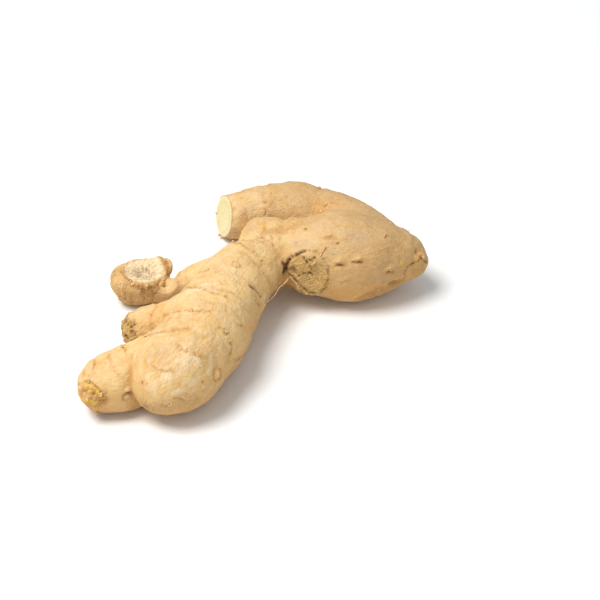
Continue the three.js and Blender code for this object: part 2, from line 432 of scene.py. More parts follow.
relief = np.zeros(COUNT)  # millimetres, out from the skin
MARKS = ("ring_line", "warm", "pale", "grey", "dark", "yellow", "cork", "knife_cut")
paint = {mark: np.zeros(COUNT) for mark in MARKS}


def add_paint(mark, amount, where=slice(None)):
    paint[mark][where] = np.maximum(paint[mark][where], np.clip(amount, 0, 1))


def groove(pixels, width, depth, mark, strength, wander=0.2):
    """A line through the pixels, sunk by a depth in millimetres and painted."""
    line = stroke(pixels, width, wander)
    relief[:] -= depth * line
    add_paint(mark, strength * line)


# %% [markdown]
# ## The cut faces
#
# Three places have no skin. The back finger was cut with a knife and is still moist. The shoot base dried
# after its stalk fell, so its fibres stand up round small pits. A branch snapped off the body long ago, and
# the wound healed over with cracked cork.

# %% Masks of the cut faces
FACE_DEPTH, FACE_WHOLE = 0.55, 0.15  # millimetres under the plane: skin past one, bare above the other


def face_mask(name):
    """How far each point is on the bare face, its distance from the middle, its height, and its offset."""
    at, out, reach = CUTS[name]
    off = at_mm - np.array(at) / MM
    height = off @ np.array(out)
    beside = np.sqrt(np.maximum((off**2).sum(1) - height**2, 0))
    return ease(-FACE_DEPTH, -FACE_WHOLE, height) * (beside < reach), beside, height, off


knife_cut, knife_radius, knife_height, knife_off = face_mask("knife_cut")
shoot_cut, shoot_radius, shoot_height, shoot_off = face_mask("shoot_cut")
_, scar_radius, scar_height, _ = face_mask("branch_scar")
add_paint("knife_cut", knife_cut)
bare = np.maximum(knife_cut, shoot_cut)
print("bare points:", int((knife_cut > 0.5).sum()), int((shoot_cut > 0.5).sum()))

# %% [markdown]
# ## Swellings, fibres and rings
#
# A leaf scale once wrapped the stem at each ring. What is left is a thin raised edge with a groove past it,
# strong in some places and lost in others. Between rings the skin swells a little and carries fine fibres.

# %% Relief of the skin
RING_REACH = 8  # millimetres each side of a ring that its marks may wander
DRAWN_SHARE = 0.75  # how far the trunk's rings give way on its near side, drawn by pixel below
skin_share = 1 - bare
relief += skin_share * (0.42 * grain(9.0, 1) + 0.2 * grain(3.6, 2))
fibre = cloud(straight * (1, 1, 0.3), 1.0, 3, 2)
open_skin = ease(0.5, 3.5, seam) * (1 - knife_cut)
relief += skin_share * (0.04 * fibre * open_skin + 0.07 * grain(0.9, 4))

# A fold in the skin follows a contour of the noise; a second noise says where folds show at all.
FOLDS = ((5.2, 81, 0.05, 0.4), (3.1, 83, 0.07, 0.35), (1.9, 85, 0.1, 0.3))  # blob size, seed, width, strength
for size, seed, width, strength in FOLDS:
    contour = bell(cloud(straight * (1, 1, 0.75), size, seed, 2), width)
    shows = ease(-0.05, 0.75, grain(7.0, seed + 1)) * ease(-0.5, 0.4, grain(1.3, seed))
    shows = shows * skin_share * open_skin
    relief -= 0.08 * contour * shows
    add_paint("ring_line", strength * contour * shows)

around_circle = np.stack([9 * np.cos(angle), 9 * np.sin(angle), finger_of * FINGER_SHIFT], 1)
away = outward @ np.array(FORWARD)  # above 0 where the skin faces away from the camera
facing_camera = ease(-0.1, 0.5, -away)
FAR_SIDE = 0.15  # how far a point faces away before it counts as unseen
unseen = (away > FAR_SIDE) & (bare < 0.1)
for index, name in enumerate(NAMES):
    for number, ring in enumerate(FINGERS[name][1]):
        seed = 40 + 7 * index + number
        band = np.flatnonzero((finger_of == index) & (np.abs(along - ring) < RING_REACH))
        circle = around_circle[band]
        wander = 1.5 * cloud(circle, 9, seed, 1) + 0.5 * cloud(circle, 1.7, seed + 1)
        past = along[band] - ring - wander
        shown = ease(-0.75, 0.35, cloud(circle, 5.5, seed + 3)) * skin_share[band]
        shown *= 0.3 + 0.7 * open_skin[band]
        shown *= 1 - DRAWN_SHARE * facing_camera[band] * (name == "trunk")
        lip = bell(past + 0.5, 0.75) * (past < 0.1) + bell(past - 0.1, 0.18)
        relief[band] += shown * (0.26 * lip - 0.24 * bell(past - 0.65, 0.6))
        line = bell(past - 0.25, 0.34) * shown
        line *= 0.45 + 0.55 * ease(-0.6, 0.5, cloud(circle, 2.2, seed + 5))
        add_paint("ring_line", 0.8 * line, band)
        add_paint("warm", 0.5 * bell(past - 0.6, 1.3) * shown, band)
        add_paint("pale", 0.6 * bell(past + 1.0, 0.8) * shown, band)
print("relief so far, mm:", round(float(relief.min()), 2), "to", round(float(relief.max()), 2))

# %% [markdown]
# ## The corky scar
#
# Where the branch snapped off, the body closed the wound with grey-brown cork. It dried and split. A deep
# crack runs round the upper left of the disc, finer ones cross it, and pale flakes cling to its lower rim.

# %% Scar
SCAR_RADIUS = 9.0
scar_reach = scar_radius + 1.3 * grain(4.5, 21) + 0.5 * grain(1.6, 24)
scar_disc = 1 - ease(SCAR_RADIUS - 0.9, SCAR_RADIUS + 0.5, scar_reach)
scar_disc *= ease(-3.0, -1.2, scar_height)
add_paint("cork", scar_disc)
relief += scar_disc * (0.3 * grain(2.8, 22) + 0.12 * grain(0.8, 23) - 0.45)
RIM_CRACK = [(286, 272), (286, 266), (289, 260), (294, 256), (300, 253), (305, 250)]
RIM_CRACK_RIGHT = [(310, 251), (316, 251), (321, 256), (326, 263),
                   (328, 270), (329, 279), (326, 288), (319, 295)]
LOWER_RIM = [(287, 273), (293, 279), (298, 285), (304, 290), (311, 294), (318, 294)]
INNER_CRACKS = [
    [(303, 257), (305, 260), (311, 260), (316, 256)],
    [(306, 262), (309, 266), (311, 270), (309, 274), (305, 274), (300, 275), (296, 279)],
    [(310, 274), (315, 279)],
]
for line, width, depth, dark in (
    (RIM_CRACK, 0.5, 1.2, 0.95),
    (RIM_CRACK_RIGHT, 0.4, 0.7, 0.35),
    (LOWER_RIM, 0.4, 0.8, 0.6),
    *((crack, 0.25, 0.6, 0.75) for crack in INNER_CRACKS),
):
    groove(line, width, depth, "dark", dark, wander=0.45)
pit = blot(291.5, 270.5, 5, 3.2)
relief -= 0.6 * pit
add_paint("dark", 0.55 * pit)
print("cork points:", int((scar_disc > 0.5).sum()))

# %% [markdown]
# ## Root scars and eyes
#
# Thin roots once grew out of the skin. Each left a pit under a raised lip; the lip is painted pale as painted
# highlight and the pit a dark crescent as painted shade. An eye is a sleeping bud: a low knob with one or two
# rings round it. Those on the far side are spread by a seeded random draw.

# %% Scars and eyes


def root_scar(spot, normal, size):
    """A raised lip painted pale as painted highlight, over a dark crescent of painted shade, size millimetres
    across.
    """
    u, v, w = around(spot, normal)
    curve = v + 0.25 * u * u / size
    close = w * w < (2 * size) ** 2
    lip = bell(u, size * 0.85) * bell(curve - 0.5 * size, 0.42 * size) * close
    hole = bell(u, size * 0.7) * bell(curve + 0.2 * size, 0.26 * size) * close
    relief[:] += 0.6 * size * lip - 0.5 * size * hole
    # The lip is painted pale as painted highlight, the crescent under it dark as painted shade, and the skin
    # round the scar orange as painted shade.
    add_paint("pale", lip)
    add_paint("dark", 0.55 * hole)
    add_paint("ring_line", 0.8 * hole)
    add_paint("warm", 0.6 * bell(np.hypot(u, v), 1.3 * size) * close)


def eye(spot, normal, size, strength=1.0):
    """A sleeping bud: a knob with a ring round it."""
    u, v, w = around(spot, normal)
    reach = np.sqrt(u * u + v * v + 0.3 * w * w) + 0.22 * size * grain(1.5, 31)
    knob, ring = bell(reach, 0.5 * size), bell(reach - 0.95 * size, 0.2 * size)
    relief[:] += strength * size * (0.22 * knob - 0.14 * ring + 0.1 * bell(reach - 1.3 * size, 0.24 * size))
    add_paint("ring_line", 0.7 * strength * ring * ease(-0.5, 0.4, grain(1.8, 33)))
    add_paint("warm", 0.6 * strength * bell(reach - size, 0.5 * size))
    add_paint("pale", 0.6 * strength * knob)


ROOT_SCARS = [(339.5, 264, 2.1), (359.5, 261, 1.8), (353.5, 261.5, 1.0), (390, 270.5, 1.9), (331, 236.5, 0.9),
              (128.5, 391, 1.7), (165, 405, 1.1), (143, 404, 1.0), (319.5, 188.5, 1.2), (382, 282, 1.0),
              (276, 289, 0.9)]
EYES = [(217, 374, 2.3, 1.0), (236.5, 264, 1.6, 0.8), (239, 282, 1.0, 0.6), (126.5, 396, 1.6, 1.0),
        (263, 238, 1.7, 0.5), (289.5, 225, 1.4, 0.5)]
SPECKS = [(337.5, 243, 1.2), (305.5, 229, 1.5), (296, 243, 1.0), (142, 382.5, 1.1), (202, 382, 1.2),
          (236.5, 235, 2.0), (155, 292, 1.2), (158, 291, 0.9), (402, 225, 1.4)]
for x, y, size in ROOT_SCARS:
    root_scar(*touch(x, y), size)
for x, y, size, strength in EYES:
    eye(*touch(x, y), size, strength)
for x, y, size in SPECKS:
    add_paint("dark", 0.6 * blot(x, y, size * 1.1, rough=0.4))
    add_paint("warm", 0.8 * blot(x, y, size * 2.4))

draw = np.random.default_rng(11)
UNSEEN_SCARS = 34
SCAR_SHARE = 0.7  # the rest are eyes
FROM_SEAM, FROM_FLOOR = 1.5, 2.5  # millimetres that they keep from seams and from the floor
hidden = np.flatnonzero(unseen & (seam > FROM_SEAM) & (at_mm[:, 2] > FROM_FLOOR))
for vertex in draw.choice(hidden, UNSEEN_SCARS, replace=False):
    spot, normal = Vector(at_mm[vertex] * MM), Vector(outward[vertex])
    if draw.random() < SCAR_SHARE:
        root_scar(spot, normal, draw.uniform(0.7, 1.5))
    else:
        eye(spot, normal, draw.uniform(1.1, 2.0), 0.8)
print("scars and eyes:", len(ROOT_SCARS) + len(EYES) + UNSEEN_SCARS)

# %% [markdown]
# ## Colour marks
#
# The colour of ginger skin drifts: paler and chalky where it dried, orange where it is young or rubbed,
# yellow where a scale tore, dark where soil stayed. Some marks are painted light and shade: skin facing up is
# painted paler, and hollows, the underside and a few shaded spots are painted darker. Each kind of mark is
# one number at each point of the skin, from 0 to 1, which the material reads.

# %% Dry patches, young skin, torn scales, and painted light and shade
DRY = [(172, 368, 38, 30), (196, 352, 20, 14), (240, 205, 20, 14), (320, 195, 26, 8), (205, 288, 30, 12),
       (262, 238, 12, 16), (289, 225, 9, 8), (262, 300, 10, 12), (258, 205, 16, 24), (335, 225, 30, 12),
       (99, 353, 6, 4)]
for x, y, wide, tall in DRY:
    patch = blot(x, y, wide, tall, rough=0.35)
    add_paint("pale", patch * ease(-0.45, 0.55, grain(2.6, 51, 3)))
# Orange patches. The last three are painted shade: under the back finger on the trunk, on the trunk's right
# side, and along the body's underside.
WARM = [(150, 318, 20, 10, 0.5), (321.5, 208, 9, 9, 1.0), (335, 203, 8, 4, 0.6), (92, 396, 12, 12, 0.4),
        (265, 215, 4, 16, 0.5), (185, 262, 12, 8, 0.4), (143, 382, 6, 18, 0.4), (420, 258, 8, 8, 0.5),
        (281, 223, 20, 9, 0.7), (250, 335, 8, 22, 0.6), (345, 292, 42, 9, 0.8)]
YELLOW = [(88, 400, 4.5, 2.5), (96, 402.5, 3, 1.6), (102.5, 398, 2, 1.8), (92, 391, 3, 1.5),
          (140, 340, 6, 1.8), (143, 337, 7, 2.2), (261, 214.5, 2.2, 3.5), (264, 305.5, 2.4, 2.4),
          (401, 263, 1.8, 2.4), (407, 261, 1.5, 1.5)]
for x, y, wide, tall in YELLOW:
    add_paint("yellow", blot(x, y, wide, tall, rough=0.45))
GREY = [(358, 236, 15, 8, 0.8), (300, 243, 8, 6, 0.6), (383, 279, 11, 6, 0.45), (386, 216, 10, 8, 0.6),
        (331, 250, 7, 8, 0.5), (160, 352, 12, 10, 0.4), (178, 285, 8, 6, 0.4), (245, 212, 9, 8, 0.4)]
for mark, spots, rough in (("warm", WARM, 0.4), ("grey", GREY, 0.5)):
    for x, y, wide, tall, strength in spots:
        add_paint(mark, strength * blot(x, y, wide, tall, rough=rough))
add_paint("grey", 0.6 * ease(0.25, 0.9, grain(11.0, 57)) * (1 - facing_camera))
# Skin that faces up is painted paler, in patches: painted light from above.
upward_lit = ease(-0.1, 1.0, outward[:, 2]) * (0.75 + 0.25 * grain(6.0, 55))
add_paint("pale", 0.55 * upward_lit * skin_share)
for size, seed, share in ((5.0, 58, 0.7), (2.0, 59, 0.5)):
    add_paint("pale", share * ease(0.1, 0.7, grain(size, seed, 3)) * upward_lit)
add_paint("pale", 0.5 * bulge * ease(-0.3, 0.4, grain(2.0, 56)))
# Hollows and skin that faces down are painted more orange and darker: painted shade.
add_paint("warm", 0.55 * ease(0.1, 0.8, hollow_shade) + 0.4 * ease(0.15, -0.6, outward[:, 2]))
print("yellow points:", int((paint["yellow"] > 0.5).sum()))

# %% [markdown]
# ## Ring lines that the photograph shows
#
# Some scale edges are drawn where the photograph has them: a thin orange-brown line, raised on one side.

# %% Scale edges by pixel
SCALE_EDGES = [
    [(147, 335), (155, 334), (162, 332), (169, 329), (178, 328.5), (190, 329)],
    [(164, 315), (174, 311.5), (182, 309.5), (192, 309.5), (203, 311), (215, 309.5)],
    [(183, 291.5), (187, 288.5), (194, 288), (201, 288.5), (211, 292), (225, 297), (239, 305), (248, 312)],
    [(197, 274.5), (203, 271.5), (209, 269.5)],
    [(224, 245.5), (232, 242.5), (239, 243), (248, 248), (256, 255), (262, 261)],
    [(220, 327.5), (227, 335)],
    [(226, 309.5), (232, 315)],
    [(235, 323), (239, 326), (244, 326)],
    [(81, 388), (86, 383), (94, 384), (101, 390), (106, 399)],
    [(86, 393), (92, 390), (98, 394), (101, 400)],
    [(262, 196), (265, 204), (265, 212), (260, 224)],
    [(256, 232), (265, 237), (272, 243), (277, 250)],
    [(417.5, 254), (421, 258), (425.5, 260)],
    [(332, 202), (336, 203), (339, 206)],
    [(175.5, 398), (181, 398.5), (185, 401)],
    [(158, 403), (165, 406), (170, 404.5)],
    [(177, 345), (181, 350.5), (186, 352)],
    [(194, 353), (200, 357)],
    [(228, 338), (231.5, 346), (231, 354)],
    [(400, 222.5), (404, 226.5)],
]
FAINT_EDGES = [
    [(134, 388), (131, 396), (129, 402)],
    [(151, 363), (153, 367), (158, 369.5), (165, 371.5), (173, 371)],
    [(146, 360), (147, 367), (146, 373)],
    [(109.5, 356), (112, 367), (117.5, 375)],
    [(318, 237.5), (332, 238.5), (346, 239), (355, 233)],
    [(330, 281.5), (340, 283), (353, 280)],
]
for line in SCALE_EDGES + FAINT_EDGES:
    mark = stroke(line, 0.42, wander=0.6) * (0.5 if line in FAINT_EDGES else 1)
    broken = 0.25 + 0.75 * ease(-0.6, 0.3, grain(2.6, 61))
    relief -= 0.16 * mark * broken
    lip = stroke([(x, y - 2) for x, y in line], 0.7) * broken
    relief += 0.18 * lip
    add_paint("pale", 0.5 * lip)
    add_paint("ring_line", 0.85 * mark * broken)
    add_paint("warm", 0.5 * stroke(line, 1.1, wander=0.6) * broken)
# Dark cracks, sunk and painted. The third, in the join of the trunk and the body, is also painted shade.
DARK_CRACKS = [[(250, 286.5), (254.5, 289.5), (258, 293), (260.5, 297)],
               [(221.5, 249.5), (223.5, 247), (227, 245)], [(283, 262), (285, 268), (284, 274)],
               [(401, 223), (404, 226)]]
for line in DARK_CRACKS:
    groove(line, 0.5, 0.8, "dark", 0.85)
print("scale edges:", len(SCALE_EDGES + FAINT_EDGES))

# %% [markdown]
# ## The two dried ends
#
# The shoot base is a disc of pale straw-like fibre with dark pits near its middle and a ragged bark rim.
# The side lobe ends in a dark, crumbly break.

# %% Dried ends
FACE_PITS = [[(137, 267), (139, 270)], [(141, 266), (142, 269)], [(145, 266), (145.5, 269)],
             [(149, 267), (148, 270)], [(152.5, 268.5), (150, 271)], [(134, 270), (137, 272)],
             [(147, 273), (146, 276)], [(151, 273), (149, 276)], [(138, 276), (140, 273.5)],
             [(131, 274), (135, 274)], [(143, 274), (143, 277)]]
face_spot = np.array(touch(143.5, 271)[0]) / MM
face_off = at_mm - face_spot
face_reach = np.hypot(face_off[:, 0], face_off[:, 1]) + 0.9 * grain(3.0, 74) + 0.4 * grain(1.0, 75)
spoke = np.arctan2(face_off[:, 1], face_off[:, 0])
spokes = cloud(np.stack([5 * np.cos(spoke), 5 * np.sin(spoke), 0.3 * face_reach], 1), 1.3, 71)
pits = ease(0.2, 0.7, spokes) * bell(face_reach - 2.6, 1.7)
pale_face = shoot_cut * (1 - ease(7.7, 9.0, face_reach))
relief += shoot_cut * (0.2 * grain(1.1, 72) + 0.3 * grain(3.5, 73) + 0.12 * spokes)
relief -= pale_face * (0.7 * pits + 1.1 * (1 - ease(0.5, 6.5, face_reach)))
relief += 0.5 * shoot_cut * bell(face_reach - 8.7, 1.0)
add_paint("dark", 0.7 * pits * pale_face)
for line in FACE_PITS:
    groove(line, 0.3, 0.5, "dark", 0.6, wander=0.3)
RAGGED_RIM = [(122, 277), (127, 282), (134, 286), (142, 287), (150, 285), (157, 280), (161, 273)]
groove(RAGGED_RIM, 0.55, -0.6, "ring_line", 0.8, wander=0.7)  # a depth below 0 stands up
rim = bell(face_reach - 8.5, 0.45) * shoot_cut * ease(-0.5, 0.3, grain(1.8, 76))
add_paint("ring_line", 0.9 * rim)
paint["shoot_cut"] = pale_face
relief += knife_cut * 0.05 * grain(0.9, 75)
by_the_knife = ease(-7.0, -1.0, knife_height) * (knife_radius < 13) * (1 - knife_cut)
relief += by_the_knife * (0.5 * grain(5.0, 96) + 0.3 * grain(2.0, 97))
add_paint("pale", 0.7 * by_the_knife)
inner_ring = knife_cut * bell(knife_radius + 0.4 * grain(2.5, 98) - 6.9, 0.4)
relief -= 0.12 * inner_ring
add_paint("ring_line", 0.8 * inner_ring)

on_shoot, on_lobe = (finger_of == NAMES.index(name) for name in ("shoot_base", "side_lobe"))
bark = on_shoot * (1 - pale_face)
patches = cloud(straight * (1, 1, 0.3), 2.2, 76) * (1 - shoot_cut) + grain(2.0, 76) * shoot_cut
bark *= ease(-0.6, 0.5, patches) * 0.75
add_paint("cork", bark)
add_paint("grey", 0.5 * bark)
relief += bark * 0.26 * cloud(straight * (1, 1, 0.25), 1.0, 77) * (1 - shoot_cut)
relief += shoot_cut * (1 - pale_face) * 0.3 * grain(1.4, 80)
shoot_side = on_shoot * (1 - ease(0.5, 0.9, -outward[:, 2]))
relief -= 1.9 * shoot_side * (1 - ease(0.5, 9.0, at_mm[:, 2]))
add_paint("dark", 0.4 * bark * (1 - shoot_cut) * ease(0.3, 0.8, cloud(straight * (1, 1, 0.25), 0.9, 78)))
lobe_end = on_lobe * (1 - ease(3.0, 6.5, along + 1.6 * grain(2.6, 78)))
crumbs = grain(1.15, 79, 2)
relief += lobe_end * 0.75 * crumbs
add_paint("cork", lobe_end)
add_paint("dark", lobe_end * ease(0.0, 0.6, -crumbs) * 0.8)
add_paint("yellow", lobe_end * ease(0.0, 0.7, crumbs) * 0.3)
print("dried-end points:", int((lobe_end > 0.5).sum()), int((pale_face > 0.5).sum()))

# %% [markdown]
# ## The ends of the body and of the toe
#
# The body ends in a blunt knob. A lip of skin folds over a brown underside, and the skin is pinched just
# before it. The toe's tip is a bud: torn leaf scales in rings round its point, yellow where they tore.

# %% Body tip and toe tip
pinch, lip_bulge = blot(399, 284, 8, 6, rough=0.1), blot(420, 258, 8, 6, rough=0.1)
tuck = blot(382, 291, 26, 11, rough=0.15)
under_lip = blot(418, 271, 8, 7, rough=0.25)
shoulder = blot(250, 223, 46, 26, rough=0.1)  # the trunk's far shoulder, lower than its round solid
behind = at_mm[:, 1] - touch(250, 223)[0].y / MM
shoulder *= 1 - ease(8.0, 13.0, behind)  # the back finger, farther back, stays as it is
relief += 1.3 * lip_bulge - 3.0 * pinch - 2.2 * tuck - 0.8 * under_lip - 3.0 * shoulder
add_paint("cork", 0.7 * under_lip)
TIP_FOLDS = [[(405, 280), (404, 272), (408, 266), (413, 263)], [(413, 263), (419, 259), (427, 262)],
             [(419, 259), (416, 254), (417, 249)]]
for line in TIP_FOLDS:
    groove(line, 0.4, 0.7, "ring_line", 1.0, wander=0.3)

across, above, out = around(*touch(93, 398))
toe_reach = np.sqrt(across**2 + (1.25 * above) ** 2 + 0.4 * out**2)
toe_reach = toe_reach + 0.5 * grain(1.8, 91) + 0.25 * grain(0.8, 92)
for number, radius in enumerate((0.9, 2.3, 3.7, 5.2)):
    edge = bell(toe_reach - radius, 0.3) * ease(-0.6, 0.1, grain(2.2, 93 + number))
    relief += 0.28 * bell(toe_reach - radius + 0.5, 0.45) - 0.35 * edge
    add_paint("ring_line", 0.6 * edge)
arc = stroke([(78, 385), (84, 382), (90, 382.5), (96, 387), (101, 393), (104.5, 400)], 0.45, wander=0.5)
inner_arc = stroke([(85, 391), (90, 389), (95, 392), (98, 396)], 0.45, wander=0.5)
arcs = np.maximum(arc, inner_arc)
relief -= 0.6 * arcs
add_paint("ring_line", 0.9 * arcs)
add_paint("yellow", 0.8 * stroke([(84, 384), (90, 384.5), (96, 389), (100, 394)], 0.6, wander=0.5))
toe_bud = 1 - ease(4.5, 7.0, toe_reach)
relief += toe_bud * (0.7 - 0.1 * toe_reach + 0.45 * grain(1.5, 94))
add_paint("warm", 0.8 * toe_bud)
print("tip points:", int((under_lip > 0.5).sum()), int((toe_bud > 0.5).sum()))

# %% [markdown]
# ## Put the relief on the skin
#
# Every point moves out along its own normal by its relief. The knife-cut end has also dried and shrunk a
# little, more on its near side, so its rim is drawn in and its face leans. The face of the shoot base leans
# too, its left edge up. The underside stays on the floor plane, so the part rests where its solid does. The
# marks are stored as named attributes for the material to read, with the straightened coordinates that its
# fibres follow.

# %% Write the skin
END_SHRINK = 0.1  # share by which the rim of the knife-cut end is drawn in
END_LEAN = 0.17  # millimetres that its face sinks for each millimetre toward the camera's side
LEAN_LINE = -4  # millimetres from the middle to the line that stays in place
moved = at_mm + outward * relief[:, None]
knife_way = np.array(CUTS["knife_cut"][1])
near_side = -np.array(FORWARD) + knife_way * (np.array(FORWARD) @ knife_way)
near_side /= np.linalg.norm(near_side)
dried = (ease(-8.0, 0.0, knife_height) * (knife_radius < 13))[:, None]
moved -= dried * END_SHRINK * (knife_off - knife_height[:, None] * knife_way)
moved -= dried * END_LEAN * (knife_off @ near_side - LEAN_LINE)[:, None] * knife_way

SHOOT_LEAN = 0.26  # millimetres up for each millimetre to the left of the shoot base's middle
near_face = ease(-9.0, -1.0, shoot_height) * (1 - ease(12.0, 17.0, shoot_radius))
moved[:, 2] -= near_face * SHOOT_LEAN * shoot_off[:, 0]

SHOULDER_SINK = 2.4  # millimetres straight down, on top of the shoulder's relief
shoulder_top = np.array(touch(255, 217)[0]) / MM
moved[:, 2] -= SHOULDER_SINK * (1 - ease(4.0, 13.0, np.linalg.norm(at_mm - shoulder_top, axis=1)))
moved[:, 2] = np.maximum(moved[:, 2], 0)
skin_mesh.vertices.foreach_set("co", (moved * MM).astype(np.float32).ravel())
# A dull tan, darker toward the right and the back of the rhizome.
tan_and_shade = ease(-12, 52, at_mm[:, 0] + 0.4 * at_mm[:, 1] + 7 * grain(14.0, 95))
tan_and_shade *= 1 - 0.6 * blot(415, 255, 22, 22)
# Painted shadow of the back finger on the trunk below it.
tan_and_shade = np.maximum(tan_and_shade, blot(283, 224, 26, 11, rough=0.4))
well_lit = 0.7 * blot(405, 268, 30, 20) + 0.6 * blot(105, 396, 44, 20)  # the photograph is lighter here
# Skin that faces down is painted darker: painted shade, kept lighter in the two spots below.
tan_and_shade = np.maximum(tan_and_shade, ease(0.35, -0.35, outward[:, 2]) * (1 - well_lit))
for mark, values in (paint | {"hollow_shade": hollow_shade, "tan_and_shade": tan_and_shade, "open_skin": open_skin}).items():
    stored = skin_mesh.attributes.new(mark, "FLOAT", "POINT")
    stored.data.foreach_set("value", values.astype(np.float32))
straight_m = (straight * MM).astype(np.float32)
skin_mesh.attributes.new("straight", "FLOAT_VECTOR", "POINT").data.foreach_set("vector", straight_m.ravel())
skin_mesh.update()
skin_mesh.shade_smooth()
skin = add_object("rhizome_skin", skin_mesh)
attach(skin, "root")
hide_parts("rhizome")
print("skin relief, mm:", round(float(relief.min()), 2), "to", round(float(relief.max()), 2))

# %% [markdown]
# ## Shader groups
#
# Two effects are shared by every material here: fine fibres and small specks. Each is a node group with named
# sockets, built once. The groups only put out values. The Principled shader stays in each material.

# %% Node helpers


def put(tree, kind, links=None, **settings):
    """Adds a node, sets its fields, and fills its inputs with values or with other nodes' outputs."""
    made = tree.nodes.new(kind)
    for field, value in settings.items():
        setattr(made, field, value)
    for socket, value in (links or {}).items():
        target = made.inputs[socket]
        if isinstance(value, bpy.types.NodeSocket):
            tree.links.new(value, target)
        else:
            target.default_value = value
    return made


def new_group(name, inputs, outputs):
    """A node group with named inputs and outputs, and its two end nodes."""
    group = bpy.data.node_groups.new(name, "ShaderNodeTree")
    for direction, sockets in (("INPUT", inputs), ("OUTPUT", outputs)):
        for socket, kind, value in sockets:
            made = group.interface.new_socket(socket, in_out=direction, socket_type=kind)
            if value is not None:
                made.default_value = value
    return group, group.nodes.new("NodeGroupInput"), group.nodes.new("NodeGroupOutput")


def math_node(tree, operation, a, b=None, clamp=False):
    links = {0: a} if b is None else {0: a, 1: b}
    return put(tree, "ShaderNodeMath", links, operation=operation, use_clamp=clamp).outputs[0]


def times(tree, a, b):
    return math_node(tree, "MULTIPLY", a, b)


def mix_colour(tree, share, a, b):
    return put(tree, "ShaderNodeMix", {0: share, 6: a, 7: b}, data_type="RGBA").outputs[2]


def ramp(tree, value, low, high):
    made = put(tree, "ShaderNodeMapRange", {0: value, 1: low, 2: high}, interpolation_type="SMOOTHSTEP")
    return made.outputs[0]


def noise(tree, spot, scale, detail, roughness=0.5):
    links = {"Vector": spot, "Scale": scale, "Detail": detail, "Roughness": roughness}
    return put(tree, "ShaderNodeTexNoise", links).outputs["Fac"]


FLOAT, VECTOR = "NodeSocketFloat", "NodeSocketVector"

# %% Fibres
fibre_group, ends_in, ends_out = new_group(
    "fine_fibres",
    [("Position", VECTOR, None), ("Straightened", VECTOR, None), ("Open", FLOAT, 0.0),
     ("Per Metre", FLOAT, 900.0), ("Stretch", FLOAT, 0.5)],
    [("Fibres", FLOAT, None), ("Blotches", FLOAT, None)],
)
squeeze = put(fibre_group, "ShaderNodeCombineXYZ", {0: 1.0, 1: 1.0, 2: ends_in.outputs["Stretch"]}).outputs[0]
pulled = put(fibre_group, "ShaderNodeVectorMath", {0: ends_in.outputs["Straightened"], 1: squeeze},
             operation="MULTIPLY").outputs[0]
position, per_metre = ends_in.outputs["Position"], ends_in.outputs["Per Metre"]
threads, plain_threads = (noise(fibre_group, spot, per_metre, 3.0, 0.6) for spot in (pulled, position))
either = put(fibre_group, "ShaderNodeMix", {0: ends_in.outputs["Open"], 2: plain_threads, 3: threads})
fibre_group.links.new(either.outputs[0], ends_out.inputs["Fibres"])
BLOTCH_SCALE = 0.16  # blotches for each fibre
blotches = noise(fibre_group, position, times(fibre_group, per_metre, BLOTCH_SCALE), 4.0, 0.6)
fibre_group.links.new(blotches, ends_out.inputs["Blotches"])

# %% Specks
speck_group, ends_in, ends_out = new_group(
    "small_specks",
    [("Position", VECTOR, None), ("Per Metre", FLOAT, 700.0), ("Cover", FLOAT, 0.3)],
    [("Specks", FLOAT, None)],
)
LEVEL, LEVEL_DROP, CONTRAST = 0.78, 0.3, 14.0  # a speck is where the noise passes the level
grains = noise(speck_group, ends_in.outputs["Position"], ends_in.outputs["Per Metre"], 2.0)
drop = times(speck_group, ends_in.outputs["Cover"], LEVEL_DROP)
over_level = math_node(speck_group, "SUBTRACT", grains, math_node(speck_group, "SUBTRACT", LEVEL, drop))
speck_out = math_node(speck_group, "MULTIPLY", over_level, CONTRAST, clamp=True)
speck_group.links.new(speck_out, ends_out.inputs["Specks"])
print("groups:", [g.name for g in bpy.data.node_groups])

# %% [markdown]
# ## The skin's material
#
# Dry ginger skin is matt and slightly fibrous. Its base tan drifts between a straw and a biscuit tone. The
# stored marks then tint it one after another, the largest areas first and the darkest cracks last.

# %% Skin material


def linear(red, green, blue):
    """A colour given on the usual 0 to 255 scale, as the linear colour that shaders use."""
    scaled = [c / 255 for c in (red, green, blue)]
    return (*(c / 12.92 if c <= 0.04045 else ((c + 0.055) / 1.055) ** 2.4 for c in scaled), 1.0)


STRAW, BISCUIT, HONEY = linear(228, 188, 124), linear(217, 172, 106), linear(204, 150, 80)
CHALK, ORANGE, BROWN = linear(240, 214, 172), linear(214, 158, 82), linear(172, 114, 52)
GREY_TAN, DULL_TAN_SHADE = linear(196, 166, 130), linear(188, 148, 98)
CORK, CORK_DARK = linear(230, 188, 118), linear(182, 138, 80)
SOIL, TURMERIC = linear(98, 60, 26), linear(232, 190, 74)
MOIST, MOIST_GREEN, RIND = linear(232, 216, 168), linear(226, 212, 152), linear(204, 146, 80)
STRAW_DRY, STRAW_GREY = linear(240, 218, 180), linear(216, 182, 134)


def new_material(name):
    made = bpy.data.materials.new(name)
    made.use_nodes = True
    made.node_tree.nodes.clear()
    shader = made.node_tree.nodes.new("ShaderNodeBsdfPrincipled")
    out = made.node_tree.nodes.new("ShaderNodeOutputMaterial")
    made.node_tree.links.new(shader.outputs[0], out.inputs[0])
    return made, made.node_tree, shader


def read(tree, attribute):
    return put(tree, "ShaderNodeAttribute", attribute_name=attribute).outputs["Fac"]


skin_material, tree, shader = new_material("ginger_skin")
pulled_place = put(tree, "ShaderNodeAttribute", attribute_name="straight").outputs["Vector"]
plain_place = put(tree, "ShaderNodeTexCoord").outputs["Object"]


def group_node(tree, group, **values):
    links = {socket.replace("_", " "): value for socket, value in values.items()}
    return put(tree, "ShaderNodeGroup", links, node_tree=group)


